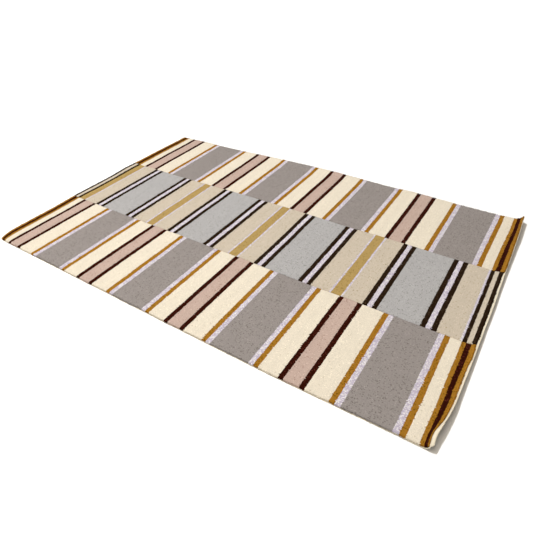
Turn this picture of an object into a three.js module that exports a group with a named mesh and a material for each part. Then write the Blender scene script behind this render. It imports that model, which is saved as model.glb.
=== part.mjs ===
// Hand-tufted wool rug, lying flat with its right end curled up off the floor.
// Millimetres, +Z up. "Along" is the length, from the left end to the right end, and
// "across" is the width, from the near side to the far side; both are 0 at the middle.
import * as THREE from 'three';

// Driving sizes
const LENGTH = 3000;
const WIDTH = 2000;
const CLOTH_THICKNESS = 3;       // base cloth with its latex
const PILE_TOP = 12;             // from the underside to the top of the wool
const HEM_TOP = 6;               // the turned edge of the base cloth
const HEM_ROUND = 1.5;           // how far the hem's outer corner is rounded off
const HEM_WALL = 0.4;            // run of the hem's steep inner face
const GAP = 0.3;                 // clearance between the wool and the cloth
const PILE_SHOULDER = 3;         // run over which the wool's edge rounds over
const PILE_SHOULDER_DROP = 1.8;
const PILE_LUMP = 0.5;           // unevenness of the wool's top
const LUMP_ALONG = 470;          // wavelength of that unevenness
const LUMP_ACROSS = 330;
const CURL_ARC = 75;             // length of rug in the right end's curl
const END_RUN = 260;             // how far in from an end its uneven outline bends the rows
const LINE_CLEARANCE = 1;        // least distance from a line of the mesh to the edge's own lines
const HEM = { near: 5, far: 5, left: 5, right: 11 };   // width of the rim that shows
const LIFT_RUN = { near: 100, far: 140, left: 160 };   // how far in from its edge a side is lifted

// How far each side stands out from a straight edge (minus is in), at places along that side
const NEAR_OUT = [
  { at: -1500, out: -2 }, { at: -1180, out: 1 }, { at: -690, out: 4 }, { at: 0, out: 8 },
  { at: 600, out: 9 }, { at: 960, out: 4 }, { at: 1270, out: -3 }, { at: 1420, out: -5 },
  { at: 1470, out: -6 }, { at: 1500, out: -12 },
];
const FAR_OUT = [
  { at: -1500, out: -34 }, { at: -1240, out: -18 }, { at: -1040, out: -21 },
  { at: -860, out: -16 }, { at: -540, out: -3 }, { at: -380, out: 2 }, { at: 70, out: 6 },
  { at: 360, out: -4 }, { at: 540, out: -8 }, { at: 740, out: 0 }, { at: 1000, out: -11 },
  { at: 1310, out: -15 }, { at: 1410, out: -16 }, { at: 1460, out: -20 }, { at: 1500, out: -46 },
];
const LEFT_OUT = [
  { at: -1000, out: -66 }, { at: -985, out: -53 }, { at: -955, out: -41 }, { at: -900, out: -30 },
  { at: -765, out: -26 }, { at: -560, out: -28 }, { at: -345, out: -20 }, { at: 60, out: -22 },
  { at: 205, out: -13 }, { at: 320, out: -17 }, { at: 640, out: -16 }, { at: 1000, out: -20 },
];
const RIGHT_OUT = [
  { at: -1000, out: 4 }, { at: -960, out: 4 }, { at: -900, out: 4 }, { at: -820, out: 6 },
  { at: -760, out: 6 }, { at: -640, out: 3 }, { at: -300, out: 2 }, { at: -200, out: 1 },
  { at: 0, out: 2 }, { at: 280, out: 0 }, { at: 500, out: 2 }, { at: 620, out: 5 },
  { at: 700, out: 8 }, { at: 770, out: 12 }, { at: 860, out: 15 }, { at: 930, out: 14 },
  { at: 1000, out: 11 },
];
// The right end's curl: the angle that its edge has turned through, in degrees
const CURL_TURN = [
  { at: -1000, turn: 88 }, { at: -960, turn: 100 }, { at: -930, turn: 99 },
  { at: -885, turn: 86 }, { at: -830, turn: 73 }, { at: -770, turn: 63 }, { at: -700, turn: 56 },
  { at: -560, turn: 49 }, { at: -400, turn: 45 }, { at: -220, turn: 41 }, { at: -60, turn: 40 },
  { at: 100, turn: 44 }, { at: 260, turn: 49 }, { at: 380, turn: 54 }, { at: 500, turn: 58 },
  { at: 620, turn: 65 }, { at: 760, turn: 73 }, { at: 860, turn: 78 }, { at: 1000, turn: 84 },
];
// How high the other edges stand off the floor
const LEFT_LIFT = [
  { at: -1000, lift: 0 }, { at: -850, lift: 4 }, { at: -400, lift: 8 }, { at: 200, lift: 12 },
  { at: 600, lift: 8 }, { at: 1000, lift: 3 },
];
const FAR_LIFT = [
  { at: -1500, lift: 2 }, { at: -1000, lift: 2 }, { at: -500, lift: 6 }, { at: 70, lift: 10 },
  { at: 800, lift: 6 }, { at: 1300, lift: 2 }, { at: 1420, lift: 8 }, { at: 1500, lift: 14 },
];
const NEAR_LIFT = [
  { at: -1500, lift: 0 }, { at: 1150, lift: 0 }, { at: 1350, lift: 3 }, { at: 1500, lift: 3 },
];

// Lines of the meshes, as distances from the left end and from the near side, in from the edges
const LINES_ALONG = [
  20, 70, 140, 300, 550, 800, 1050, 1300, 1550, 1800, 2050, 2300, 2550, 2750, 2880,
  2925, 2934, 2943, 2952, 2961, 2970, 2979,
];
const LINES_ACROSS = [
  15, 30, 55, 85, 120, 180, 280, 450, 655, 675, 850, 1000, 1150, 1320, 1345, 1500, 1700, 1860,
  1930, 1975,
];

// A smooth curve through the rows of a table, at a place between them
function along(table, column, place) {
  const last = table.length - 1;
  if (place <= table[0].at) return table[0][column];
  if (place >= table[last].at) return table[last][column];
  let i = 0;
  while (place > table[i + 1].at) i += 1;
  const a = table[i];
  const b = table[i + 1];
  const span = b.at - a.at;
  const before = table[Math.max(i - 1, 0)];
  const after = table[Math.min(i + 2, last)];
  const slopeA = (b[column] - before[column]) / (b.at - before.at) * span;
  const slopeB = (after[column] - a[column]) / (after.at - a.at) * span;
  const t = (place - a.at) / span;
  const rise = t * t * (3 - 2 * t);
  return a[column] + (b[column] - a[column]) * rise
    + slopeA * t * (1 - t) * (1 - t) - slopeB * t * t * (1 - t);
}

// 1 at an edge, falling to 0 at a run in from it
function edgeShare(insideEdge, run) {
  const t = Math.max(0, 1 - insideEdge / run);
  return t * t;
}

// Where a point of the rug lies before it is lifted or curled: distances in from the left end
// and the near side, on the uneven outline
function flatPlace(fromLeft, fromNear) {
  const middleX = fromLeft - LENGTH / 2;
  const middleY = fromNear - WIDTH / 2;
  const near = -WIDTH / 2 - along(NEAR_OUT, 'out', middleX);
  const far = WIDTH / 2 + along(FAR_OUT, 'out', middleX);
  const left = along(LEFT_OUT, 'out', middleY) * edgeShare(fromLeft, END_RUN);
  const right = along(RIGHT_OUT, 'out', middleY) * edgeShare(LENGTH - fromLeft, END_RUN);
  return {
    x: middleX - left + right,
    y: near + (far - near) * fromNear / WIDTH,
  };
}

// The underside of the rug over a flat place, which is nowhere below the floor
function underside(x, y) {
  const lift = Math.max(
    0,
    along(LEFT_LIFT, 'lift', y) * edgeShare(x + LENGTH / 2, LIFT_RUN.left)
      + along(FAR_LIFT, 'lift', x) * edgeShare(WIDTH / 2 - y, LIFT_RUN.far)
      + along(NEAR_LIFT, 'lift', x) * edgeShare(WIDTH / 2 + y, LIFT_RUN.near),
  );
  const curlStart = LENGTH / 2 - CURL_ARC;
  if (x <= curlStart) return new THREE.Vector3(x, y, lift);
  const bend = THREE.MathUtils.degToRad(along(CURL_TURN, 'turn', y)) / CURL_ARC;
  const turned = bend * (x - curlStart);
  return new THREE.Vector3(
    curlStart + Math.sin(turned) / bend,
    y,
    lift + (1 - Math.cos(turned)) / bend,
  );
}

// A point at a height above the underside, measured square to the cloth
function onRug(fromLeft, fromNear, height) {
  const flat = flatPlace(fromLeft, fromNear);
  const point = underside(flat.x, flat.y);
  const step = 0.5;
  const runX = underside(flat.x + step, flat.y).sub(underside(flat.x - step, flat.y));
  const runY = underside(flat.x, flat.y + step).sub(underside(flat.x, flat.y - step));
  return point.addScaledVector(runX.cross(runY).normalize(), height);
}

// A closed sheet over a grid of lines: heightAt gives its two faces at line i along, j across
function sheetSolid(linesAlong, linesAcross, bottomAt, topAt) {
  const countX = linesAlong.length;
  const countY = linesAcross.length;
  const positions = [];
  for (const heightAt of [bottomAt, topAt]) {
    for (let i = 0; i < countX; i += 1) {
      for (let j = 0; j < countY; j += 1) {
        const point = onRug(linesAlong[i], linesAcross[j], heightAt(i, j));
        positions.push(point.x, point.y, point.z);
      }
    }
  }
  const layer = countX * countY;
  const bottom = (i, j) => i * countY + j;
  const top = (i, j) => layer + bottom(i, j);
  const faces = [];
  const quad = (a, b, c, d) => faces.push(a, b, c, a, c, d);
  for (let i = 0; i < countX - 1; i += 1) {
    for (let j = 0; j < countY - 1; j += 1) {
      quad(top(i, j), top(i + 1, j), top(i + 1, j + 1), top(i, j + 1));
      quad(bottom(i, j), bottom(i, j + 1), bottom(i + 1, j + 1), bottom(i + 1, j));
    }
    quad(bottom(i, 0), bottom(i + 1, 0), top(i + 1, 0), top(i, 0));
    quad(top(i, countY - 1), top(i + 1, countY - 1), bottom(i + 1, countY - 1), bottom(i, countY - 1));
  }
  for (let j = 0; j < countY - 1; j += 1) {
    quad(top(0, j), top(0, j + 1), bottom(0, j + 1), bottom(0, j));
    quad(bottom(countX - 1, j), bottom(countX - 1, j + 1), top(countX - 1, j + 1), top(countX - 1, j));
  }
  const geometry = new THREE.BufferGeometry();
  geometry.setAttribute('position', new THREE.Float32BufferAttribute(positions, 3));
  geometry.setIndex(faces);
  geometry.computeVertexNormals();
  return geometry;
}

// How many lines in from the nearest edge line i, j is
function ring(i, j, linesAlong, linesAcross) {
  return Math.min(i, j, linesAlong.length - 1 - i, linesAcross.length - 1 - j);
}

// Lines at the given depths in from two opposite edges, with the inner lines between them
function linesBetween(size, fromStart, fromEnd, inner) {
  const start = fromStart[fromStart.length - 1];
  const end = size - fromEnd[fromEnd.length - 1];
  return [
    ...fromStart,
    ...inner.filter((line) => line > start + LINE_CLEARANCE && line < end - LINE_CLEARANCE),
    ...fromEnd.map((depth) => size - depth).reverse(),
  ];
}

// How far in from an edge the wool starts, and where its rounded shoulder ends
function pileDepths(hem) {
  const edge = hem + HEM_WALL + GAP;
  return [edge, edge + PILE_SHOULDER];
}

// The base cloth: a thin sheet under the wool, with its edge turned up as a hem
function baseCloth() {
  const depths = (hem) => [0, HEM_ROUND, hem, hem + HEM_WALL, ...pileDepths(hem)];
  const linesAlong = linesBetween(LENGTH, depths(HEM.left), depths(HEM.right), LINES_ALONG);
  const linesAcross = linesBetween(WIDTH, depths(HEM.near), depths(HEM.far), LINES_ACROSS);
  const heights = [HEM_TOP - HEM_ROUND, HEM_TOP, HEM_TOP, CLOTH_THICKNESS];
  const topAt = (i, j) => {
    const inwards = ring(i, j, linesAlong, linesAcross);
    return heights[Math.min(inwards, heights.length - 1)];
  };
  return sheetSolid(linesAlong, linesAcross, () => 0, topAt);
}

// The wool pile: one dense field inside the hem, rounded over at its edge
function woolPile() {
  const linesAlong = linesBetween(LENGTH, pileDepths(HEM.left), pileDepths(HEM.right), LINES_ALONG);
  const linesAcross = linesBetween(WIDTH, pileDepths(HEM.near), pileDepths(HEM.far), LINES_ACROSS);
  const topAt = (i, j) => {
    if (ring(i, j, linesAlong, linesAcross) === 0) return PILE_TOP - PILE_SHOULDER_DROP;
    const wave = Math.sin(2 * Math.PI * linesAlong[i] / LUMP_ALONG)
      * Math.cos(2 * Math.PI * (linesAcross[j] - WIDTH / 2) / LUMP_ACROSS);
    return PILE_TOP + PILE_LUMP * wave;
  };
  return sheetSolid(linesAlong, linesAcross, () => CLOTH_THICKNESS + GAP, topAt);
}

const rug = new THREE.Group();

function addPiece(name, geometry, look) {
  const piece = new THREE.Mesh(geometry, new THREE.MeshStandardMaterial(look));
  piece.name = name;
  rug.add(piece);
}

addPiece('base_cloth', baseCloth(), { color: 0xeae0cd, roughness: 0.95, metalness: 0 });
addPiece('wool_pile', woolPile(), { color: 0xb5a99a, roughness: 1, metalness: 0 });

// The rug's origin is under the middle of its outline, on the floor
const outline = new THREE.Box3().setFromObject(rug);
const middle = outline.getCenter(new THREE.Vector3());
rug.position.set(-middle.x, -middle.y, -outline.min.z);

export default rug;
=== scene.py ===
"""Looks of a hand-tufted wool rug that lies flat, with its right end curled up off the floor.

Lengths are in millimetres, and turned to metres where Blender is given them. "Along" is the rug's
length, from its left end, and "across" is its width, from its near side. The rug is tufted in rows
that run across it, each row in one colour of wool, and in three lanes side by side.
"""
import math

import bpy
import numpy as np
from mathutils import Matrix, Vector


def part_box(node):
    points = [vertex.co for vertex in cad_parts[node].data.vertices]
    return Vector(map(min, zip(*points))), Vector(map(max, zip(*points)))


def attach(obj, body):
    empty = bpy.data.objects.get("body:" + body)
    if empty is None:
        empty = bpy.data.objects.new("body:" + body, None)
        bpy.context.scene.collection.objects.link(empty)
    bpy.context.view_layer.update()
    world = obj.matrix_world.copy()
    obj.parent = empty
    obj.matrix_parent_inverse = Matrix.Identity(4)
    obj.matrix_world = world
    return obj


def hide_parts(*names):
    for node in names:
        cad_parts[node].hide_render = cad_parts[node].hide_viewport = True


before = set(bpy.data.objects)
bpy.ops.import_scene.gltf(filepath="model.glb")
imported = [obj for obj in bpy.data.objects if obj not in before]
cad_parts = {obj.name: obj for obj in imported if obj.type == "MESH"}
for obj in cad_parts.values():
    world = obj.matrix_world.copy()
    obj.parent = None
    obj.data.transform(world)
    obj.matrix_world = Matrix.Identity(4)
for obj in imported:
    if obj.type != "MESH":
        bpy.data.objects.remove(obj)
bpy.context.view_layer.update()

MM = 0.001  # metres in a millimetre

# Sizes that the solids have too
LENGTH = 3000
WIDTH = 2000
CLOTH_THICKNESS = 3
PILE_TOP = 12     # from the underside to the top of the wool
HEM_WALL = 0.4    # run of the hem's steep inner face
GAP = 0.3         # clearance between the wool and the cloth
PILE_LUMP = 0.5   # unevenness of the wool's top
LUMP_ALONG = 470  # wavelength of that unevenness
LUMP_ACROSS = 330
CURL_ARC = 75     # length of rug in the right end's curl
END_RUN = 260     # how far in from an end its uneven outline bends the rows
HEM = {"near": 5, "far": 5, "left": 5, "right": 11}  # width of the rim
LIFT_RUN = {"near": 100, "far": 140, "left": 160}    # how far in from its edge a side is lifted

# Every table goes by place along its side, from the rug's middle

# How far each side stands out from a straight edge (minus is in)
NEAR_OUT = (
    (-1500, -2), (-1180, 1), (-690, 4), (0, 8), (600, 9), (960, 4), (1270, -3), (1420, -5), (1470, -6),
    (1500, -12),
)
FAR_OUT = (
    (-1500, -34), (-1240, -18), (-1040, -21), (-860, -16), (-540, -3), (-380, 2), (70, 6), (360, -4),
    (540, -8), (740, 0), (1000, -11), (1310, -15), (1410, -16), (1460, -20), (1500, -46),
)
LEFT_OUT = (
    (-1000, -66), (-985, -53), (-955, -41), (-900, -30), (-765, -26), (-560, -28), (-345, -20), (60, -22),
    (205, -13), (320, -17), (640, -16), (1000, -20),
)
RIGHT_OUT = (
    (-1000, 4), (-960, 4), (-900, 4), (-820, 6), (-760, 6), (-640, 3), (-300, 2), (-200, 1), (0, 2),
    (280, 0), (500, 2), (620, 5), (700, 8), (770, 12), (860, 15), (930, 14), (1000, 11),
)
# The right end's curl: the angle in degrees that its edge has turned through
CURL_TURN = (
    (-1000, 88), (-960, 100), (-930, 99), (-885, 86), (-830, 73), (-770, 63), (-700, 56), (-560, 49),
    (-400, 45), (-220, 41), (-60, 40), (100, 44), (260, 49), (380, 54), (500, 58), (620, 65), (760, 73),
    (860, 78), (1000, 84),
)
# How high the other edges stand off the floor
LEFT_LIFT = ((-1000, 0), (-850, 4), (-400, 8), (200, 12), (600, 8), (1000, 3))
FAR_LIFT = ((-1500, 2), (-1000, 2), (-500, 6), (70, 10), (800, 6), (1300, 2), (1420, 8), (1500, 14))
NEAR_LIFT = ((-1500, 0), (1150, 0), (1350, 3), (1500, 3))

# At the near right corner the curl is steeper than in the solids, and the bare cloth beyond the wool
# flares outwards
FLARE = ((-1000, 1), (-930, 1), (-885, 0.5), (-840, 0.1), (-800, 0), (1000, 0))   # share of the flare
FLARE_TURN = 28    # how many degrees steeper the curl is at its full share
LIP = ((-1000, 13), (-980, 9), (-960, 8), (-920, 10), (-880, 11), (-840, 11), (1000, 11))   # width
LIP_SLOPE = ((-1000, -50), (-985, -28), (-965, 0), (-935, 18), (-885, 18), (1000, 18))   # rise, degrees
CORNER_SAG = ((-1000, 0.28), (-985, 0.2), (-955, 0.05), (-930, 0), (1000, 0))   # share of its height
CORNER_ROUND = 14  # radius of that corner

# Tufting
ROWS = 542             # rows of tufts from the left end to the right end
TUFT_PITCH = 4.2       # from tuft to tuft along a row
ROW_GROOVE = 0.7       # depth of the groove between two rows
COLOUR_GROOVE = 1.3    # the same where the colour changes
TUFT_UNEVEN = 0.32     # how far a stretch of a row stands above or below the rest
FIBRE_UNEVEN = 0.1     # the same for each point of the mesh
LANE_LINES = (WIDTH / 3, 2 * WIDTH / 3)   # where two lanes meet, from the near side
LANE_PARTING = 0.4     # from a lane's edge to the line where two lanes meet
SIDE_ROUND = (6.2, 8)  # how far the pile rounds down at the rug's sides, and over what run
PARTING_ROUND = (3.2, 4.5)  # the same where two lanes meet
END_ROUND = (4.2, 5.5)      # and at the rug's ends
PILE_START = HEM["left"] + HEM_WALL + GAP
PILE_LENGTH = LENGTH - PILE_START - (HEM["right"] + HEM_WALL + GAP)
PILE_END = PILE_START + PILE_LENGTH
NEAR_EDGE = HEM["near"] + HEM_WALL + GAP
FAR_EDGE = WIDTH - HEM["far"] - HEM_WALL - GAP
ROW_PITCH = PILE_LENGTH / ROWS

# How the wool spills over the hem
SPILL = (   # how far its outermost rows do so at the right end (minus is short of the hem)
    (-1000, -2), (-960, -4), (-900, -5), (-860, -2), (-810, -1), (-700, 0), (-600, -2), (-500, 0),
    (-420, 5), (-330, 0), (310, 0), (350, 8), (640, 8), (860, 10), (1000, 12),
)
SPILL_RUN = 70         # how far in from the right end the rows are moved for it
SIDE_SPILL = 2.6       # how far the wool leans over the hem along the rug's long sides
SIDE_SPILL_RUN = 25    # how far in from a side it leans
SIDE_SPILL_STOP = (20, 60)   # it starts to lean between these distances from the right end
AT_RIGHT_END = 40      # how close to the right end a place counts as at it
COVERING_SPILL = 6     # a spill that covers the hem as a whole
COVERED_HEM_TOP = 2.8  # the hem's height where wool covers it
COVERED_ROLL = 0.4     # how much of the roll of its underside is left there

# Unevenness: each layer has its amount, the width of its lumps and the seed of its random numbers
ROW_WAVER = ((1.6, 310, 15), (0.6, 60, 11), (0.5, 19, 12))   # of the rows
END_STEADY = 25                 # how far in from an end the rows waver less
END_RAGGED = (1.1, 24, 13)      # of the wool's ends
RIGHT_RAGGED = (2.2, 70, 16)    # more at the right end
SIDEWAYS_WAVER = (1.0, 63, 14)  # of the wool along its rows
TOP_UNEVEN = (0.45, 46, 21)     # of the wool's height
TUFT_CLUMPS = ((0.5, 26, 17), (0.45, 140, 18))  # of how far the yarn ends at the edge reach
HEM_UNEVEN = ((0.3, 28, 31), (0.15, 11, 32))    # of the hem's height
HEM_RAGGED = (0.7, 37, 33)      # of the hem's outline
HEM_RAGGED_RUN = 30             # how far in from the edge it goes

# Yarn ends at the wool's edge
YARN_END_WIDTH = 4.8
YARN_END_LENGTH = 8.5
YARN_END_SHARES = (0.6, 1.3)   # the smallest and the largest, as a share of those sizes
YARN_END_INSET = 1.2    # how far in from the wool's edge they stand
YARN_END_PITCH = 5      # from one to the next at the rug's ends; at its sides each row has one
YARN_END_MARGIN = 2     # from the wool's sides to the first of them at an end
YARN_END_REACH = 5.2    # how far out they reach
USUAL_CLUMP = 0.55      # the share of that reach which a usual clump has
LARGEST_CLUMP = 1.2     # and the largest
SIDE_REACH_START = 0.7  # at the rug's sides they reach this far out,
SIDE_REACH_SHARE = 0.6  # and by this share of the usual reach further,
SIDE_REACH_MOST = 5     # of which no more than this counts
YARN_END_DEPTH = 3.2    # how far below the pile's top they stand
REACH_DROP = 0.75       # how much lower they stand for each millimetre that they reach out
YARN_END_UNEVEN = 0.5   # how far above or below that they may be
LEAN_OUT = 0.75         # how they point: outwards, upwards and by chance
LEAN_UP = 0.65
LEAN_CHANCE = 0.3

# Meshes
LINES_PER_ROW = 3     # a groove and the two shoulders of its ridge
CELL_ACROSS = 13.5    # length of a cell of the pile's mesh, along a row
LANE_EDGE_LINES = (0, 0.8, 2.2, 4.5, 8)   # the mesh's lines beside a lane's edge, in from it
BELOW_STEP_ALONG = 9  # lines of the pile's top for each line of its underside
BELOW_STEP_ACROSS = 6
CLOTH_CELL = 15       # size of a cell of the cloth's mesh
CURL_CELL = 5         # its length in the curl
CURL_MARGIN = 20      # how far before the curl, and before the right end, those cells start and stop
LINE_CLEARANCE = 2    # least distance from them to the cloth's other lines
BESIDE_HEM = 4        # from the hem to the first of the cloth's even lines
ROUNDING = 0.0001     # more than the error of a sum of lengths
# The hem's rolled section: depth in from its edge, height of its underside, and height of its top
HEM_ROLL = ((0, 1.6, 4.2), (0.8, 0.6, 5.3), (2.2, 0.1, 5.9), (3.6, 0, 6.0))


def along(table, place):
    """A smooth curve through a table's rows of place and value, read at each given place."""
    at, value = np.array(table, float).T
    place = np.clip(place, at[0], at[-1])
    here = np.clip(np.searchsorted(at, place, side="left") - 1, 0, len(at) - 2)
    before = np.maximum(here - 1, 0)
    after = np.minimum(here + 2, len(at) - 1)
    span = at[here + 1] - at[here]
    slope_here = (value[here + 1] - value[before]) / (at[here + 1] - at[before]) * span
    slope_next = (value[after] - value[here]) / (at[after] - at[here]) * span
    t = (place - at[here]) / span
    rise = t * t * (3 - 2 * t)
    smooth = value[here] + (value[here + 1] - value[here]) * rise
    return smooth + slope_here * t * (1 - t) ** 2 - slope_next * t * t * (1 - t)


def fade(depth, run):
    """1 at an edge, falling smoothly to 0 at a run in from it."""
    return np.maximum(1 - depth / run, 0) ** 2


def soft_noise(from_left, from_near, pitch, seed):
    """Smooth unevenness from -1 to 1, in lumps about one pitch wide."""
    size = (int(LENGTH / pitch) + 5, int(WIDTH / pitch) + 5)
    heights = np.random.default_rng(seed).uniform(-1, 1, size)
    a = np.clip(from_left / pitch + 1, 0, size[0] - 2)
    b = np.clip(from_near / pitch + 1, 0, size[1] - 2)
    i = a.astype(int)
    j = b.astype(int)
    s = (a - i) ** 2 * (3 - 2 * (a - i))
    t = (b - j) ** 2 * (3 - 2 * (b - j))
    near = heights[i, j] * (1 - s) + heights[i + 1, j] * s
    far = heights[i, j + 1] * (1 - s) + heights[i + 1, j + 1] * s
    return near * (1 - t) + far * t


def unevenness(from_left, from_near, *layers):
    """The sum of some layers of smooth unevenness."""
    return sum(amount * soft_noise(from_left, from_near, pitch, seed) for amount, pitch, seed in layers)


def flat_place(from_left, from_near):
    """Where a point of the rug lies on its uneven outline, before it is lifted or curled."""
    to_right = np.clip(1 - (LENGTH - from_left) / CORNER_ROUND, 0, 1)
    to_near = np.clip(1 - from_near / CORNER_ROUND, 0, 1)
    from_left = from_left - CORNER_ROUND * to_right * (1 - np.sqrt(1 - to_near**2 / 2))
    from_near = from_near + CORNER_ROUND * to_near * (1 - np.sqrt(1 - to_right**2 / 2))
    middle_x = from_left - LENGTH / 2
    middle_y = from_near - WIDTH / 2
    near = -WIDTH / 2 - along(NEAR_OUT, middle_x)
    far = WIDTH / 2 + along(FAR_OUT, middle_x)
    left = along(LEFT_OUT, middle_y) * fade(from_left, END_RUN)
    right = along(RIGHT_OUT, middle_y) * fade(LENGTH - from_left, END_RUN)
    return middle_x - left + right, near + (far - near) * from_near / WIDTH


def underside(x, y):
    """The underside of the rug over a flat place."""
    lift = (
        along(LEFT_LIFT, y) * fade(x + LENGTH / 2, LIFT_RUN["left"])
        + along(FAR_LIFT, x) * fade(WIDTH / 2 - y, LIFT_RUN["far"])
        + along(NEAR_LIFT, x) * fade(WIDTH / 2 + y, LIFT_RUN["near"])
    )
    curl_start = LENGTH / 2 - CURL_ARC
    flare = np.clip(along(FLARE, y), 0, 1)
    bend = np.radians(along(CURL_TURN, y) + FLARE_TURN * flare) / CURL_ARC
    into_curl = np.maximum(x - curl_start, 0)
    on_arc = np.minimum(into_curl, CURL_ARC - along(LIP, y))
    on_lip = into_curl - on_arc
    turned = bend * on_arc
    lip_slope = (1 - flare) * (turned + bend * on_lip / 2) + flare * np.radians(along(LIP_SLOPE, y))
    curled_x = np.minimum(x, curl_start) + np.sin(turned) / bend + on_lip * np.cos(lip_slope)
    rise = (1 - np.cos(turned)) / bend + on_lip * np.sin(lip_slope)
    height = np.maximum(lift, 0) + rise * (1 - along(CORNER_SAG, y))
    return np.stack([curled_x, y, height], -1)


def unit(vectors):
    return vectors / np.linalg.norm(vectors, axis=-1, keepdims=True)


def on_rug(from_left, from_near, height):
    """Points at a height above the underside, square to the cloth, and the directions of that height."""
    x, y = flat_place(from_left, from_near)
    step = 0.5
    run_x = underside(x + step, y) - underside(x - step, y)
    run_y = underside(x, y + step) - underside(x, y - step)
    upright = unit(np.cross(run_x, run_y))
    return underside(x, y) + upright * np.asarray(height)[..., None], upright


def frame_shift():
    """What brings the tables' frame, with its origin at the rug's middle, to the solids' frame."""
    sides = np.linspace(0, 1, 2001)
    left = on_rug(0 * sides, WIDTH * sides, 0 * sides)[0][:, 0].min()
    near = on_rug(LENGTH * sides, 0 * sides, 0 * sides)[0][:, 1].min()
    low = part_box("base_cloth")[0]
    return np.array([low.x / MM - left, low.y / MM - near, 0])


SHIFT = frame_shift()


def new_object(name, data):
    """An object in the scene that holds a mesh, a camera or a lamp."""
    thing = bpy.data.objects.new(name, data)
    bpy.context.scene.collection.objects.link(thing)
    return thing


def new_mesh(name, points, faces):
    """A mesh in metres from points in millimetres."""
    mesh = bpy.data.meshes.new(name)
    mesh.from_pydata(((points + SHIFT) * MM).tolist(), [], faces)
    return mesh


def add_flat_map(mesh, flat_places):
    """The UV map "flat": metres from the left end and from the near side."""
    corners = np.empty(len(mesh.loops), np.int32)
    mesh.loops.foreach_get("vertex_index", corners)
    flat = mesh.uv_layers.new(name="flat")
    flat.uv.foreach_set("vector", (flat_places[corners] * MM).astype(np.float32).ravel())


def new_piece(name, points, faces, flat_places):
    """A smooth piece from points in millimetres, with a UV map of flat places on the rug."""
    mesh = new_mesh(name, points, faces)
    mesh.polygons.foreach_set("use_smooth", np.ones(len(mesh.polygons), bool))
    add_flat_map(mesh, flat_places)
    return new_object(name, mesh)


def grid_faces(count_along, count_across, first=0, upwards=True):
    """The four-cornered faces of a grid of points, as lists of their numbers."""
    numbers = first + np.arange(count_along * count_across).reshape(count_along, count_across)
    corners = [numbers[:-1, :-1], numbers[1:, :-1], numbers[1:, 1:], numbers[:-1, 1:]]
    if not upwards:
        corners.reverse()
    return np.stack(corners, -1).reshape(-1, 4).tolist()


def add(tree, kind, inputs=None, **settings):
    """Adds a node with its settings, and gives each input a value or another node's output."""
    node = tree.nodes.new(kind)
    for name, value in settings.items():
        setattr(node, name, value)
    for key, value in (inputs or {}).items():
        if isinstance(value, bpy.types.NodeSocket):
            tree.links.new(value, node.inputs[key])
        else:
            node.inputs[key].default_value = value
    return node


# The stripes, a plain design of this script's own: rows of each colour, in an even repeat

OUTER_REPEAT = (
    ("cream", 10), ("maroon", 5), ("pink", 15), ("maroon", 5), ("cream", 22), ("gold", 5),
    ("lilac", 5), ("grey", 42), ("lilac", 5), ("gold", 5), ("cream", 10),
)
OUTER_BORDER = (("gold", 4), ("maroon", 5), ("gold", 4))
MIDDLE_REPEAT = (
    ("ochre", 11), ("lilac", 2), ("sand", 21), ("black", 5), ("lilac", 5), ("black", 5),
    ("silver", 42), ("black", 5), ("lilac", 5), ("black", 5), ("sand", 21), ("lilac", 2),
)
MIDDLE_BORDER = (("black", 4), ("sand", 5), ("black", 4))


def rows_of(stripes):
    return sum(rows for _, rows in stripes)


def colour_changes(repeat, border):
    """The numbers of the rows before which the colour of the wool changes."""
    inside = [yarn for yarn, rows in repeat for _ in range(rows)]
    edge = [yarn for yarn, rows in border for _ in range(rows)]
    inside_rows = ROWS - 2 * len(edge)
    yarns = edge + [inside[row % len(inside)] for row in range(inside_rows)] + edge[::-1]
    return np.array([row for row in range(1, ROWS) if yarns[row] != yarns[row - 1]])


# Wool pile


def spread(start, end, step, edge_depths):
    """Places from start to end: some close to the two edges, and the rest about a step apart."""
    inner_start = start + edge_depths[-1]
    inner_end = end - edge_depths[-1]
    inner = np.linspace(inner_start, inner_end, int((inner_end - inner_start) / step) + 1)
    depths = np.array(edge_depths[:-1])
    return np.concatenate([start + depths, inner, (end - depths)[::-1]])


def leaning_sides(from_left):
    """1 where the wool leans over the hem at the sides, and 0 near the right end, where it doesn't."""
    stop, start = SIDE_SPILL_STOP
    return np.clip((LENGTH - from_left - stop) / (start - stop), 0, 1)


def pile_point(from_left, from_near, height):
    """Points in the wool, and the directions of their height: the rows waver, and spill over the hem."""
    from_right = PILE_END - from_left
    steady = fade(np.minimum(from_left - PILE_START, from_right), END_STEADY)
    waver = unevenness(from_left, from_near, *ROW_WAVER)
    spill = along(SPILL, from_near - WIDTH / 2) * fade(from_right, SPILL_RUN)
    ragged = unevenness(from_left, from_near, END_RAGGED)
    ragged = ragged + unevenness(from_left, from_near, RIGHT_RAGGED) * (from_right < AT_RIGHT_END)
    sideways = unevenness(from_left, from_near, SIDEWAYS_WAVER)
    lean = fade(FAR_EDGE - from_near, SIDE_SPILL_RUN) - fade(from_near - NEAR_EDGE, SIDE_SPILL_RUN)
    sideways = sideways + SIDE_SPILL * lean * leaning_sides(from_left)
    moved_left = from_left + waver * (1 - steady) + ragged * steady + spill
    return on_rug(moved_left, from_near + sideways, height)


def every(step, count):
    """The numbers from 0 up to a count, a step apart, and the last one."""
    return np.unique(np.append(np.arange(0, count, step), count - 1))


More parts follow.
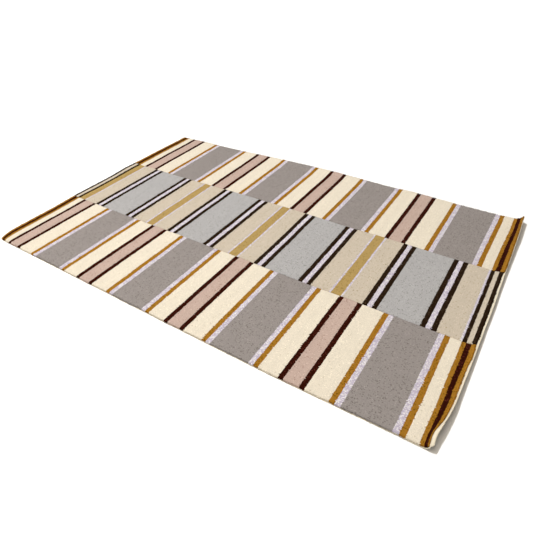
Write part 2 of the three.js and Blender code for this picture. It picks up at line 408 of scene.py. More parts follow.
def slab_faces(top_shape, below_along, below_across):
    """The faces of a closed slab: its top, its underside, which has fewer lines, and its four walls."""
    top = np.arange(top_shape[0] * top_shape[1]).reshape(top_shape)
    below_shape = (len(below_along), len(below_across))
    below = top.size + np.arange(below_shape[0] * below_shape[1]).reshape(below_shape)
    walls = []
    for a in range(below_shape[0] - 1):
        run = np.arange(below_along[a], below_along[a + 1] + 1)
        walls.append([below[a, 0], below[a + 1, 0], *top[run[::-1], 0]])
        walls.append([below[a + 1, -1], below[a, -1], *top[run, -1]])
    for b in range(below_shape[1] - 1):
        run = np.arange(below_across[b], below_across[b + 1] + 1)
        walls.append([below[0, b + 1], below[0, b], *top[0, run]])
        walls.append([below[-1, b], below[-1, b + 1], *top[-1, run[::-1]]])
    faces = grid_faces(*top_shape)
    faces += grid_faces(*below_shape, first=top.size, upwards=False)
    faces += [[int(number) for number in wall] for wall in walls]
    return faces


def lane(name, near, far, changes, near_round, far_round):
    """One lane of wool between two places across: a closed slab with its rows as ridges. Each of its
    edges is rounded down by a height over a run."""
    row_lines = np.arange(ROWS * LINES_PER_ROW + 1)
    lines_along = PILE_START + row_lines * ROW_PITCH / LINES_PER_ROW
    lines_across = spread(near, far, CELL_ACROSS, LANE_EDGE_LINES)
    from_left, from_near = np.meshgrid(lines_along, lines_across, indexing="ij")
    top = PILE_TOP + PILE_LUMP * (
        np.sin(2 * np.pi * from_left / LUMP_ALONG)
        * np.cos(2 * np.pi * (from_near - WIDTH / 2) / LUMP_ACROSS)
    )
    top += unevenness(from_left, from_near, TOP_UNEVEN)
    chance = np.random.default_rng(int(near))
    tuft = chance.uniform(-TUFT_UNEVEN, TUFT_UNEVEN, (ROWS + 1, len(lines_across)))
    top += tuft[row_lines // LINES_PER_ROW]
    top += chance.uniform(-FIBRE_UNEVEN, FIBRE_UNEVEN, top.shape)
    groove = np.zeros(len(lines_along))
    groove[::LINES_PER_ROW] = ROW_GROOVE
    groove[changes * LINES_PER_ROW] = COLOUR_GROOVE
    top -= groove[:, None]
    end_depth = np.minimum(from_left - PILE_START, PILE_END - from_left)
    rounded = ((near_round, from_near - near), (far_round, far - from_near), (END_ROUND, end_depth))
    for (drop, run), depth in rounded:
        top -= drop * fade(depth, run)
    points = pile_point(from_left, from_near, top)[0]

    below_along = every(BELOW_STEP_ALONG, len(lines_along))
    below_across = every(BELOW_STEP_ACROSS, len(lines_across))
    below_left = from_left[np.ix_(below_along, below_across)]
    below_near = from_near[np.ix_(below_along, below_across)]
    below = pile_point(below_left, below_near, np.full(below_left.shape, CLOTH_THICKNESS + GAP))[0]
    all_points = np.concatenate([points.reshape(-1, 3), below.reshape(-1, 3)])
    places = np.concatenate([
        np.stack([from_left, from_near], -1).reshape(-1, 2),
        np.stack([below_left, below_near], -1).reshape(-1, 2),
    ])
    return new_piece(name, all_points, slab_faces(from_left.shape, below_along, below_across), places)


# Yarn ends at the edge of the wool


def edge_places():
    """Where the yarn ends at the wool's edge stand: places along and across, and which way is out."""
    side_rows = PILE_START + (np.arange(ROWS) + 0.5) * ROW_PITCH
    end_tufts = np.arange(NEAR_EDGE + YARN_END_MARGIN, FAR_EDGE - YARN_END_MARGIN, YARN_END_PITCH)
    sides = (
        (side_rows, np.full(ROWS, NEAR_EDGE + YARN_END_INSET), (0, -1)),
        (side_rows, np.full(ROWS, FAR_EDGE - YARN_END_INSET), (0, 1)),
        (np.full(len(end_tufts), PILE_START + YARN_END_INSET), end_tufts, (-1, 0)),
        (np.full(len(end_tufts), PILE_END - YARN_END_INSET), end_tufts, (1, 0)),
    )
    from_left = np.concatenate([side[0] for side in sides])
    from_near = np.concatenate([side[1] for side in sides])
    outwards = np.concatenate([np.tile(side[2], (len(side[0]), 1)) for side in sides])
    return from_left, from_near, outwards


def tuft_tree():
    """Geometry nodes that stand a yarn end on each point, leaning the way that the point says."""
    tree = bpy.data.node_groups.new("edge_tufts", "GeometryNodeTree")
    for name, kind in (
        ("Geometry", "NodeSocketGeometry"),
        ("Tuft width", "NodeSocketFloat"),
        ("Tuft length", "NodeSocketFloat"),
        ("Seed", "NodeSocketInt"),
        ("Wool", "NodeSocketMaterial"),
    ):
        tree.interface.new_socket(name, in_out="INPUT", socket_type=kind)
    tree.interface.new_socket("Geometry", in_out="OUTPUT", socket_type="NodeSocketGeometry")
    given = add(tree, "NodeGroupInput").outputs
    yarn_end = add(tree, "GeometryNodeMeshUVSphere", {"Segments": 6, "Rings": 4, "Radius": 0.5})
    rounded = add(tree, "GeometryNodeSetShadeSmooth", {"Geometry": yarn_end.outputs["Mesh"]})
    lean = add(tree, "GeometryNodeInputNamedAttribute", {"Name": "lean"}, data_type="FLOAT_VECTOR")
    turn = add(
        tree, "FunctionNodeAlignRotationToVector", {"Vector": lean.outputs["Attribute"]}, axis="Z"
    )
    size = add(
        tree, "ShaderNodeCombineXYZ",
        {"X": given["Tuft width"], "Y": given["Tuft width"], "Z": given["Tuft length"]},
    )
    smallest, largest = YARN_END_SHARES
    share = add(
        tree, "FunctionNodeRandomValue",
        {"Min": (smallest,) * 3, "Max": (largest,) * 3, "Seed": given["Seed"]},
        data_type="FLOAT_VECTOR",
    )
    uneven = add(
        tree, "ShaderNodeVectorMath", {0: size.outputs[0], 1: share.outputs["Value"]}, operation="MULTIPLY"
    )
    stood = add(
        tree, "GeometryNodeInstanceOnPoints",
        {
            "Points": given["Geometry"],
            "Instance": rounded.outputs["Geometry"],
            "Rotation": turn.outputs["Rotation"],
            "Scale": uneven.outputs[0],
        },
    )
    real = add(tree, "GeometryNodeRealizeInstances", {"Geometry": stood.outputs["Instances"]})
    worn = add(
        tree, "GeometryNodeSetMaterial",
        {"Geometry": real.outputs["Geometry"], "Material": given["Wool"]},
    )
    add(tree, "NodeGroupOutput", {"Geometry": worn.outputs["Geometry"]})
    return tree


def edge_tufts(name, from_left, from_near, outwards, wool, seed):
    """The yarn ends at the edge of the wool, which lean out over the hem."""
    chance = np.random.default_rng(seed)
    count = len(from_left)
    clump = USUAL_CLUMP + unevenness(from_left, from_near, *TUFT_CLUMPS)
    beside = outwards[:, 1] != 0
    # The root of a random number is nearer to 1: at the rug's sides more of them reach far
    share = chance.random(count) ** np.where(beside, 0.5, 1)
    reach = YARN_END_REACH * np.clip(clump, 0, LARGEST_CLUMP) * share
    side_reach = SIDE_REACH_START + SIDE_REACH_SHARE * np.minimum(reach, SIDE_REACH_MOST)
    reach = np.where(beside, side_reach, reach)
    height = PILE_TOP - YARN_END_DEPTH - REACH_DROP * reach
    height = height + chance.uniform(-YARN_END_UNEVEN, YARN_END_UNEVEN, count)
    from_left = from_left + outwards[:, 0] * reach
    from_near = from_near + outwards[:, 1] * reach
    points, upright = pile_point(from_left, from_near, height)
    beyond = pile_point(from_left + outwards[:, 0], from_near + outwards[:, 1], height)[0]
    out = unit(beyond - points)
    sway = chance.uniform(-LEAN_CHANCE, LEAN_CHANCE, points.shape)
    lean = unit(out * LEAN_OUT + upright * LEAN_UP + sway)
    mesh = new_mesh(name, points, [])
    for attribute, values in (
        ("lean", lean),
        ("place", np.stack([from_left, from_near, 0 * from_left], -1)),
    ):
        layer = mesh.attributes.new(attribute, "FLOAT_VECTOR", "POINT")
        layer.data.foreach_set("vector", values.astype(np.float32).ravel())
    piece = new_object(name, mesh)
    tree = tuft_tree()
    modifier = piece.modifiers.new("tufts", "NODES")
    modifier.node_group = tree
    inputs = {
        "Tuft width": YARN_END_WIDTH * MM, "Tuft length": YARN_END_LENGTH * MM, "Seed": seed, "Wool": wool,
    }
    for socket in tree.interface.items_tree:
        if socket.name in inputs:
            modifier[socket.identifier] = inputs[socket.name]
    evaluated = piece.evaluated_get(bpy.context.evaluated_depsgraph_get())
    made = bpy.data.meshes.new_from_object(evaluated)
    places = np.empty(len(made.vertices) * 3, np.float32)
    made.attributes["place"].data.foreach_get("vector", places)
    add_flat_map(made, places.reshape(-1, 3)[:, :2])
    piece.modifiers.remove(modifier)
    piece.data = made
    made.name = name
    return piece


# Base cloth


def hem_lines(hem):
    """The mesh's lines over one hem and its inner face, in from its edge."""
    roll = [row[0] for row in HEM_ROLL]
    inner_roll = hem - roll[2]
    middle = [inner_roll] if inner_roll > roll[-1] + 1 else []   # where the hem is wide enough for it
    return np.array([*roll, *middle, hem, hem + HEM_WALL, hem + BESIDE_HEM])


def cloth_lines(size, start_hem, end_hem):
    """The mesh's lines from edge to edge: close together over the hems, and even between them."""
    start = hem_lines(start_hem)
    end = size - hem_lines(end_hem)[::-1]
    inner = np.linspace(start[-1], end[0], int((end[0] - start[-1]) / CLOTH_CELL) + 1)
    return np.concatenate([start[:-1], inner, end[1:]])


def lines_with_curl():
    """The lines along the rug, closer together in the curl."""
    even = cloth_lines(LENGTH, HEM["left"], HEM["right"])
    curl = np.arange(LENGTH - CURL_ARC - CURL_MARGIN, LENGTH - CURL_MARGIN, CURL_CELL)
    before = even[even < curl[0] - LINE_CLEARANCE]
    after = even[even > LENGTH - HEM["right"] - BESIDE_HEM - LINE_CLEARANCE]
    return np.unique(np.round(np.concatenate([before, curl, after]), 4))


def cloth_section(from_left, from_near, depth):
    """The heights of the cloth's top and underside: flat under the wool, with a rolled hem around it,
    which is pressed down where wool covers it."""
    hem_share = np.minimum.reduce([
        from_left / HEM["left"], (LENGTH - from_left) / HEM["right"],
        from_near / HEM["near"], (WIDTH - from_near) / HEM["far"],
    ])
    at_end = LENGTH - from_left < AT_RIGHT_END
    covered = np.clip(along(SPILL, from_near - WIDTH / 2) / COVERING_SPILL, 0, 1) * at_end
    past_hem = HEM["near"] + 1
    at_side = np.minimum(from_near, WIDTH - from_near) < past_hem
    covered = np.maximum(covered, at_side * leaning_sides(from_left))
    roll = np.array(HEM_ROLL)
    hem_top = np.interp(depth, roll[:, 0], roll[:, 2]) + unevenness(from_left, from_near, *HEM_UNEVEN)
    hem_top = hem_top * (1 - covered) + np.minimum(hem_top, COVERED_HEM_TOP) * covered
    top = np.where(hem_share <= 1 + ROUNDING, hem_top, CLOTH_THICKNESS)
    bottom = np.interp(depth, roll[:, 0], roll[:, 1]) * (1 - (1 - COVERED_ROLL) * covered)
    return top, bottom


def base_cloth():
    """The cotton cloth under the wool, with its edge turned over as a soft rolled hem."""
    lines_across = cloth_lines(WIDTH, HEM["near"], HEM["far"])
    from_left, from_near = np.meshgrid(lines_with_curl(), lines_across, indexing="ij")
    depth = np.minimum.reduce([from_left, LENGTH - from_left, from_near, WIDTH - from_near])
    top, bottom = cloth_section(from_left, from_near, depth)
    ragged = unevenness(from_left, from_near, HEM_RAGGED) * fade(depth, HEM_RAGGED_RUN)
    # Where the wool stops short of the right end, the hem is wider
    roll_end = HEM_ROLL[-1][0]
    from_right = LENGTH - from_left
    widened = np.clip((from_right - roll_end) / (HEM["right"] - roll_end), 0, 1)
    widened *= fade(np.maximum(from_right - HEM["right"], 0), SPILL_RUN)
    short = np.minimum(along(SPILL, from_near - WIDTH / 2), 0) * widened
    top_points = on_rug(from_left + ragged + short, from_near + ragged, top)[0]
    bottom_points = on_rug(from_left + ragged + short, from_near + ragged, bottom)[0]

    size = from_left.size
    faces = grid_faces(*from_left.shape)
    faces += grid_faces(*from_left.shape, first=size, upwards=False)
    number = np.arange(size).reshape(from_left.shape)
    rim = np.concatenate([number[:, 0], number[-1, 1:], number[-2::-1, -1], number[0, -2:0:-1]])
    after = np.roll(rim, -1)
    faces += np.stack([rim + size, after + size, after, rim], -1).tolist()
    points = np.concatenate([top_points.reshape(-1, 3), bottom_points.reshape(-1, 3)])
    places = np.tile(np.stack([from_left, from_near], -1).reshape(-1, 2), (2, 1))
    cloth = new_piece("base_cloth_hemmed", points, faces, places)
    # The attribute "back" is 1 on the underside, in from the hem's roll
    back = cloth.data.attributes.new("back", "FLOAT", "POINT")
    inside_roll = depth > roll_end - ROUNDING
    back.data.foreach_set("value", np.append(np.zeros(size), inside_roll.ravel()).astype(np.float32))
    return cloth


# Materials

# Each yarn's colour, the colour of the odd tufts in it, and their share of its tufts
YARNS = {
    "cream": ("#D6CCBB", "#BDB09A", 0.008),
    "grey": ("#8B8481", "#6F6863", 0.08),
    "pink": ("#B49E93", "#947A6F", 0.03),
    "gold": ("#956822", "#714B0C", 0.15),
    "maroon": ("#2B0B03", "#4E221A", 0.08),
    "lilac": ("#B1A8B8", "#D1CCCE", 0.42),
    "black": ("#22150A", "#3F3122", 0.06),
    "sand": ("#BBAF9F", "#9A8E76", 0.03),
    "silver": ("#A3A1A1", "#83817F", 0.05),
    "ochre": ("#A48A56", "#86703E", 0.08),
}
COTTON = "#D3C9B5"
# The underside's colour: partly latex, and partly painted shade that deepens the shade on the floor under
# the curl
LATEX_BACK_AND_SHADE = "#7E7466"
WHITE_PAINT = "#F4F4F5"

INSIDE_ROW = 0.8      # where in a row its colour is read, from one side of the row to the other
STRAY_SHARE = 0.03    # share of the tufts that have the wool of the row before, and of the row after
PALE_SHARE = 0.02     # share of the tufts, of any colour, that are paler
PALER = 0.3           # and by how much
TUFT_SHADES = 0.11    # how much lighter the lightest tuft is than the darkest
ROW_SHADES = 0.04     # the same for rows
CLOUD_SHADES = 0.08   # and for soft clouds over the whole rug
CLOUD_WIDTH = 100     # width of such a cloud
BETWEEN_TUFTS = 0.78  # painted shade between two tufts, as a share of the light on them
TUFT_EDGE = (0.3, 0.75)  # where it starts and where it is full, in tufts from the middle of one
SIDE_SHADE = 0.86     # painted shade on the last tufts before the hem along the rug's sides, as the same share
LAST_TUFTS = 2        # from the hem to the middle of those tufts
SIDE_SHADE_RUN = (0.4, 2.0)   # how far from their middle that shade is full, and where it ends
FIBRE_CLUMP = 10 / 9  # width of a clump of cut fibres
TUFT_DOME = 1.3       # height of a tuft's dome, against that of its fibres
COTTON_THREAD = 1.8   # from thread to thread
SLUB_LENGTH = 25      # length of the thicker stretches of a thread
COTTON_CLOUD = 1000 / 9  # width of a cloud of shade in the cotton


def linear(colour, alpha=1.0):
    """A colour's sRGB hex value as linear light, with alpha."""
    channels = [int(colour[k:k + 2], 16) / 255 for k in (1, 3, 5)]
    light = [c / 12.92 if c <= 0.04045 else ((c + 0.055) / 1.055) ** 2.4 for c in channels]
    return (*light, alpha)


def new_material(name):
    material = bpy.data.materials.new(name)
    material.use_nodes = True
    material.node_tree.nodes.clear()
    return material, material.node_tree


def striped(tree, place, stripes, colour_of):
    """A ramp that gives each stripe its own colour, for a place from 0 to 1 over all the stripes."""
    ramp = add(tree, "ShaderNodeValToRGB", {"Fac": place})
    ramp.color_ramp.interpolation = "CONSTANT"
    total = rows_of(stripes)
    start = 0
    for number, (yarn, rows) in enumerate(stripes):
        elements = ramp.color_ramp.elements
        stop = elements[number] if number < 2 else elements.new(start / total)
        stop.position = start / total
        stop.color = colour_of(YARNS[yarn])
        start += rows
    return ramp.outputs


def stripe_place(tree, wool_row, repeat, border):
    """Where a row is in the border's and the repeat's rows together, from 0 to 1. A border is at each
    end, the same way round from its edge, and an even repeat is between them."""
    border_rows = float(rows_of(border))
    inner_row = add(tree, "ShaderNodeMath", {0: wool_row, 1: border_rows}, operation="SUBTRACT").outputs[0]
    in_repeat = add(
        tree, "ShaderNodeMath", {0: inner_row, 1: float(rows_of(repeat))}, operation="FLOORED_MODULO"
    ).outputs[0]
    past_border = add(tree, "ShaderNodeMath", {0: in_repeat, 1: border_rows}, operation="ADD").outputs[0]
    last_row = ROWS - 1 + 2 * INSIDE_ROW
    from_end = add(tree, "ShaderNodeMath", {0: last_row, 1: wool_row}, operation="SUBTRACT").outputs[0]
    edge_row = add(tree, "ShaderNodeMath", {0: wool_row, 1: from_end}, operation="MINIMUM").outputs[0]
    at_border = add(tree, "ShaderNodeMath", {0: edge_row, 1: border_rows}, operation="LESS_THAN").outputs[0]
    sequence_row = add(
        tree, "ShaderNodeMix", {0: at_border, 2: past_border, 3: edge_row}, data_type="FLOAT"
    ).outputs[0]
    return add(
        tree, "ShaderNodeMath", {0: sequence_row, 1: 1 / rows_of(border + repeat)}, operation="MULTIPLY"
    ).outputs[0]


def dyed_yarn(tree, row, chance, repeat, border):
    """The colour of a tuft's yarn: its row's, or now and then the next row's, or an odd tuft's."""
    spread_out = add(
        tree, "ShaderNodeMath", {0: chance["Red"], 1: 1 + 2 * STRAY_SHARE, 2: -STRAY_SHARE},
        operation="MULTIPLY_ADD",
    ).outputs[0]
    stray = add(tree, "ShaderNodeMath", {0: spread_out}, operation="FLOOR").outputs[0]
    own_row = add(tree, "ShaderNodeMath", {0: row, 1: stray}, operation="ADD").outputs[0]
    # A ramp is read in steps of about half a row, so its place is well inside the row
    wool_row = add(tree, "ShaderNodeMath", {0: own_row, 1: INSIDE_ROW}, operation="ADD").outputs[0]
    place = stripe_place(tree, wool_row, repeat, border)
    yarn = striped(tree, place, border + repeat, lambda yarn: linear(yarn[0], alpha=yarn[2]))
    odd_yarn = striped(tree, place, border + repeat, lambda yarn: linear(yarn[1]))
    odd = add(
        tree, "ShaderNodeMath", {0: chance["Blue"], 1: yarn["Alpha"]}, operation="LESS_THAN"
    ).outputs[0]
    return add(
        tree, "ShaderNodeMix", {0: odd, 6: yarn["Color"], 7: odd_yarn["Color"]}, data_type="RGBA"
    ).outputs[2]


def wool_shade(tree, flat, row, chance, from_middle):
    """The wool's tone, which differs at random by tuft, by row and in soft clouds, and painted shade
    between tufts and on the last tufts along the rug's sides.
    """
    row_chance = add(tree, "ShaderNodeTexWhiteNoise", {"W": row}, noise_dimensions="1D").outputs["Value"]
    clouds = add(
        tree, "ShaderNodeTexNoise", {"Vector": flat, "Scale": 1 / (CLOUD_WIDTH * MM), "Detail": 3}
    ).outputs[0]
    shades = []
    for pattern, amount in (
        (chance["Green"], TUFT_SHADES), (row_chance, ROW_SHADES), (clouds, CLOUD_SHADES),
    ):
        shades.append(add(
            tree, "ShaderNodeMath", {0: pattern, 1: amount, 2: 1 - amount / 2}, operation="MULTIPLY_ADD"
        ).outputs[0])
    by_tuft, by_row, by_cloud = shades
    pale = add(
        tree, "ShaderNodeMath", {0: chance["Green"], 1: PALE_SHARE}, operation="LESS_THAN"
    ).outputs[0]
    by_tuft = add(
        tree, "ShaderNodeMath", {0: pale, 1: PALER, 2: by_tuft}, operation="MULTIPLY_ADD"
    ).outputs[0]
    start, end = TUFT_EDGE
    # Painted shade between tufts: darker towards the edge of each tuft's cell
    painted_gap_shade = add(
        tree, "ShaderNodeMapRange",
        {"Value": from_middle, "From Min": start, "From Max": end, "To Min": 1.0, "To Max": BETWEEN_TUFTS},
    ).outputs[0]
    # Painted shade on the last tufts before the hem along the rug's sides, which stand in each other's
    # shade
    from_near = add(tree, "ShaderNodeSeparateXYZ", {"Vector": flat}).outputs["Y"]
    from_far = add(tree, "ShaderNodeMath", {0: WIDTH * MM, 1: from_near}, operation="SUBTRACT").outputs[0]
    from_side = add(tree, "ShaderNodeMath", {0: from_near, 1: from_far}, operation="MINIMUM").outputs[0]
    last_tufts = (HEM["near"] + LAST_TUFTS) * MM
    beside = add(tree, "ShaderNodeMath", {0: from_side, 1: last_tufts}, operation="SUBTRACT").outputs[0]
    apart = add(tree, "ShaderNodeMath", {0: beside}, operation="ABSOLUTE").outputs[0]
    full, end = SIDE_SHADE_RUN
    painted_side_shade = add(
        tree, "ShaderNodeMapRange",
        {"Value": apart, "From Min": full * MM, "From Max": end * MM, "To Min": SIDE_SHADE, "To Max": 1.0},
    ).outputs[0]
    shade = by_tuft
    for part in (by_row, by_cloud, painted_gap_shade, painted_side_shade):
        shade = add(tree, "ShaderNodeMath", {0: shade, 1: part}, operation="MULTIPLY").outputs[0]
    return shade


def wool_material(name, repeat, border):
    """Matt wool yarn, dyed in the hank and tufted row by row: each tuft has one colour, a little lighter or
    darker than the next, with a few odd dark or light tufts. Painted shade darkens the gaps between tufts
    and the last tufts along the rug's sides."""
    material, tree = new_material(name)
    flat = add(tree, "ShaderNodeUVMap", uv_map="flat").outputs["UV"]
    per_row = 1 / (ROW_PITCH * MM)
    per_tuft = 1 / (TUFT_PITCH * MM)
    in_rows = add(
        tree, "ShaderNodeVectorMath",
        {0: flat, 1: (per_row, per_tuft, 0), 2: (-PILE_START / ROW_PITCH, 0, 0)},
        operation="MULTIPLY_ADD",
    ).outputs[0]
    tufts = add(
        tree, "ShaderNodeTexVoronoi", {"Vector": in_rows, "Scale": 1, "Randomness": 0.5},
        voronoi_dimensions="2D",
    ).outputs
    chance = add(tree, "ShaderNodeSeparateColor", {"Color": tufts["Color"]}).outputs
    centre = add(tree, "ShaderNodeSeparateXYZ", {"Vector": tufts["Position"]}).outputs
    row = add(tree, "ShaderNodeMath", {0: centre["X"]}, operation="FLOOR").outputs[0]
    dyed = dyed_yarn(tree, row, chance, repeat, border)
    shade = wool_shade(tree, flat, row, chance, tufts["Distance"])
    colour = add(tree, "ShaderNodeVectorMath", {0: dyed, "Scale": shade}, operation="SCALE").outputs[0]

    # Relief: each tuft is a small dome of cut fibres
    dome = add(
        tree, "ShaderNodeMath", {0: tufts["Distance"], 1: tufts["Distance"]}, operation="MULTIPLY"
    ).outputs[0]
    fibres = add(
        tree, "ShaderNodeTexNoise", {"Vector": flat, "Scale": 1 / (FIBRE_CLUMP * MM), "Detail": 2}
    ).outputs[0]
    height = add(
        tree, "ShaderNodeMath", {0: dome, 1: -TUFT_DOME, 2: fibres}, operation="MULTIPLY_ADD"
    ).outputs[0]
    relief = add(
        tree, "ShaderNodeBump", {"Strength": 0.55, "Distance": 0.9 * MM, "Height": height}
    ).outputs["Normal"]
    dull, duller = 0.9, 0.98
    roughness = add(
        tree, "ShaderNodeMath", {0: chance["Green"], 1: duller - dull, 2: dull}, operation="MULTIPLY_ADD"
    ).outputs[0]
    wool = add(
        tree, "ShaderNodeBsdfPrincipled",
        {
            "Base Color": colour,
            "Roughness": roughness,
            "Normal": relief,
            "Specular IOR Level": 0.02,
            "Sheen Weight": 0.006,
            "Sheen Roughness": 0.6,
        },
    )
    add(tree, "ShaderNodeOutputMaterial", {"Surface": wool.outputs[0]})
    return material


def cotton_material():
    """Unbleached cotton canvas in plain weave: cream, matt, with thicker threads here and there, and darker
    on its back: partly the tone of latex, and partly painted shade, dark enough to deepen the shade on the
    floor under the right end's curl. Its threads are 0.6 mm apart on a real rug, and 1.8 mm here, so that
    the weave still shows."""
    material, tree = new_material("cotton_canvas")
    flat = add(tree, "ShaderNodeUVMap", uv_map="flat").outputs["UV"]
    turns = add(
        tree, "ShaderNodeVectorMath", {0: flat, "Scale": math.pi / (COTTON_THREAD * MM)}, operation="SCALE"
    ).outputs[0]
    over = add(tree, "ShaderNodeVectorMath", {0: turns}, operation="SINE").outputs[0]
    threads = add(tree, "ShaderNodeSeparateXYZ", {"Vector": over}).outputs
    weave = add(
        tree, "ShaderNodeMath", {0: threads["X"], 1: threads["Y"]}, operation="MULTIPLY"
    ).outputs[0]
    slubs = []
    per_slub = 1 / (SLUB_LENGTH * MM)
    per_thread = 1 / (COTTON_THREAD * MM)
    for stretch in ((per_slub, per_thread, 1), (per_thread, per_slub, 1)):
        long_threads = add(
            tree, "ShaderNodeVectorMath", {0: flat, 1: stretch}, operation="MULTIPLY"
        ).outputs[0]
        slubs.append(add(tree, "ShaderNodeTexNoise", {"Vector": long_threads, "Scale": 1}).outputs[0])
    uneven = add(tree, "ShaderNodeMath", {0: slubs[0], 1: slubs[1]}, operation="ADD").outputs[0]
    clouds = add(
        tree, "ShaderNodeTexNoise", {"Vector": flat, "Scale": 1 / (COTTON_CLOUD * MM), "Detail": 3}
    ).outputs[0]
    # The shade of plain cloth, which each pattern adds to
    shade = 0.84
    for pattern, strength in ((uneven, 0.12), (clouds, 0.1), (weave, 0.05)):
        shade = add(
            tree, "ShaderNodeMath", {0: pattern, 1: strength, 2: shade}, operation="MULTIPLY_ADD"
        ).outputs[0]
    # Darker on the underside: partly latex, and partly painted shade
    back = add(tree, "ShaderNodeAttribute", attribute_name="back").outputs["Fac"]
    cloth = add(
        tree, "ShaderNodeMix", {0: back, 6: linear(COTTON), 7: linear(LATEX_BACK_AND_SHADE)}, data_type="RGBA"
    ).outputs[2]
    colour = add(tree, "ShaderNodeVectorMath", {0: cloth, "Scale": shade}, operation="SCALE").outputs[0]
    slub_height = 0.6   # against the weave's
    height = add(
        tree, "ShaderNodeMath", {0: uneven, 1: slub_height, 2: weave}, operation="MULTIPLY_ADD"
    ).outputs[0]
    relief = add(
        tree, "ShaderNodeBump", {"Strength": 0.5, "Distance": 0.35 * MM, "Height": height}
    ).outputs["Normal"]
    dull, duller = 0.85, 0.95
    roughness = add(
        tree, "ShaderNodeMath", {0: slubs[0], 1: duller - dull, 2: dull}, operation="MULTIPLY_ADD"
    ).outputs[0]
    cotton = add(
        tree, "ShaderNodeBsdfPrincipled",
        {
            "Base Color": colour,
            "Roughness": roughness,
            "Normal": relief,
            "Specular IOR Level": 0.2,
            "Sheen Weight": 0.08,
        },
    )
    add(tree, "ShaderNodeOutputMaterial", {"Surface": cotton.outputs[0]})
    return material


# Camera, light and floor

# The camera that sees a rug of this size as the photo does, in the tables' frame
CAMERA_PLACE = (1466.7, -2161.0, 1711.3)
CAMERA_FORWARD = (-0.44725, 0.63743, -0.62742)
CAMERA_RIGHT = (0.83297, 0.55236, -0.0326)
LENS = 29.95         # focal length
SENSOR = 36          # width of what it falls on
LENS_SHIFT = 0.0373  # share of that width by which the lens is shifted sideways

WHITE = (1, 1, 1, 1)
DIM_ROOM = (0.315, 0.288, 0.246, 1)   # linear light from the room's walls
LAMPS = {   # place and size in metres, power in watts, and linear colour
    "lamp": ((-2.5, -0.8, 8), 0.6, 671, (0.97, 0.99, 1)),
    "soft_panel": ((-0.7, -3, 7.5), 3.6, 200, (1, 0.914, 0.781)),
}
HORIZON = (0.06, 0.16)  # upward part of a direction at which the white ends, and the dim room starts
FLOOR_HALF = 25         # metres from the floor's middle to its sides
FLOOR_DEPTH = 0.4       # millimetres from the rug's underside down to the floor
GLOW_RUN = (1.9, 8.0)   # metres from the middle at which the floor starts to glow, and glows fully
GLOW = 1.2              # strength of the full glow


def place_camera():
    """The camera is 1.7 m up, in front of the rug's near right corner, and looks down over the rug."""
    forward = Vector(CAMERA_FORWARD).normalized()
    right = Vector(CAMERA_RIGHT).normalized()
    camera = bpy.data.cameras.new("camera")
    camera.sensor_width = SENSOR
    camera.lens = LENS
    camera.shift_x = LENS_SHIFT
    camera.clip_start = 0.05
    camera.clip_end = 200
    holder = new_object("camera", camera)
    up = right.cross(forward)
    turned = Matrix((right, up, -forward)).transposed().to_4x4()
    holder.matrix_world = Matrix.Translation(Vector((np.array(CAMERA_PLACE) + SHIFT) * MM)) @ turned
    bpy.context.scene.camera = holder


def hang_lamp(name, place, size, energy, colour):
    """A square lamp at a place in metres, turned to the rug's middle."""
    lamp = bpy.data.lights.new(name, "AREA")
    lamp.size = size
    lamp.energy = energy
    lamp.color = colour
    holder = new_object(name, lamp)
    holder.location = place
    holder.rotation_euler = Vector(place).to_track_quat("Z", "Y").to_euler()


def light_studio():
    """A lamp over the rug's left part, a broad soft panel over its near side, and a dim warm room."""
    for name, settings in LAMPS.items():
        hang_lamp(name, *settings)
    world = bpy.data.worlds.new("pale_room")
    world.use_nodes = True
    tree = world.node_tree
    tree.nodes.clear()
    # White near the horizon, dim and warm above it, and white all over to the camera
    towards = add(tree, "ShaderNodeTexCoord").outputs["Generated"]
    height = add(tree, "ShaderNodeSeparateXYZ", {"Vector": towards}).outputs["Z"]
    white_end, dim_start = HORIZON
    higher = add(
        tree, "ShaderNodeMapRange",
        {"Value": height, "From Min": white_end, "From Max": dim_start, "To Min": 0.0, "To Max": 1.0},
    ).outputs[0]
    room = add(tree, "ShaderNodeMix", {0: higher, 6: WHITE, 7: DIM_ROOM}, data_type="RGBA").outputs[2]
    seen = add(tree, "ShaderNodeLightPath").outputs["Is Camera Ray"]
    colour = add(tree, "ShaderNodeMix", {0: seen, 6: room, 7: WHITE}, data_type="RGBA").outputs[2]
    background = add(tree, "ShaderNodeBackground", {"Color": colour, "Strength": 1.0})
    add(tree, "ShaderNodeOutputWorld", {"Surface": background.outputs[0]})
    bpy.context.scene.world = world
    bpy.context.scene.view_settings.view_transform = "Standard"


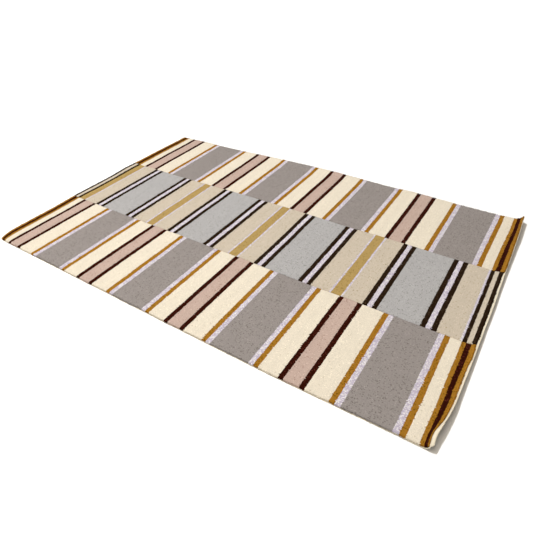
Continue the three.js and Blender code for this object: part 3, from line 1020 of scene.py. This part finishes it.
def floor_paint():
    """Matt white paint, which glows far from the rug, so that it stays white where the lamps' light
    falls off."""
    material, tree = new_material("matt_white_paint")
    place = add(tree, "ShaderNodeTexCoord").outputs["Object"]
    distance = add(tree, "ShaderNodeVectorMath", {0: place}, operation="LENGTH").outputs["Value"]
    glow_start, glow_end = GLOW_RUN
    glow = add(
        tree, "ShaderNodeMapRange",
        {"Value": distance, "From Min": glow_start, "From Max": glow_end, "To Min": 0.0, "To Max": GLOW},
    ).outputs[0]
    paint = add(
        tree, "ShaderNodeBsdfPrincipled",
        {
            "Base Color": linear(WHITE_PAINT),
            "Roughness": 0.9,
            "Specular IOR Level": 0.1,
            "Emission Color": WHITE,
            "Emission Strength": glow,
        },
    )
    add(tree, "ShaderNodeOutputMaterial", {"Surface": paint.outputs[0]})
    return material


def lay_floor():
    """A plain floor, just under the rug."""
    half = FLOOR_HALF
    below = -FLOOR_DEPTH * MM
    mesh = bpy.data.meshes.new("floor")
    corners = [(-half, -half, below), (half, -half, below), (half, half, below), (-half, half, below)]
    mesh.from_pydata(corners, [], [(0, 1, 2, 3)])
    mesh.materials.append(floor_paint())
    new_object("floor", mesh)


place_camera()
light_studio()
lay_floor()

# The rug's pieces

cloth = base_cloth()
cloth.data.materials.append(cotton_material())
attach(cloth, "root")
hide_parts("base_cloth")

outer = (OUTER_REPEAT, OUTER_BORDER)
middle = (MIDDLE_REPEAT, MIDDLE_BORDER)
KINDS = {  # the wool of a kind of lane, and the rows before which its colour changes
    "outer": (wool_material("tufted_wool_outer_lanes", *outer), colour_changes(*outer)),
    "middle": (wool_material("tufted_wool_middle_lane", *middle), colour_changes(*middle)),
}
first_line, second_line = LANE_LINES
LANES = (  # its name and kind, its near and far edges, and how they are rounded
    ("near_lane", "outer", NEAR_EDGE, first_line - LANE_PARTING, SIDE_ROUND, PARTING_ROUND),
    (
        "middle_lane", "middle", first_line + LANE_PARTING, second_line - LANE_PARTING,
        PARTING_ROUND, PARTING_ROUND,
    ),
    ("far_lane", "outer", second_line + LANE_PARTING, FAR_EDGE, PARTING_ROUND, SIDE_ROUND),
)
places = edge_places()
wool_pieces = []
for seed, (name, kind, near, far, near_round, far_round) in enumerate(LANES, start=1):
    wool, changes = KINDS[kind]
    pile = lane(name, near, far, changes, near_round, far_round)
    pile.data.materials.append(wool)
    in_lane = (places[1] > near) & (places[1] < far)
    tufts = edge_tufts(name + "_edge_tufts", *(part[in_lane] for part in places), wool, seed)
    wool_pieces += [pile, tufts]
for piece in wool_pieces:
    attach(piece, "root")
    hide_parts("wool_pile")
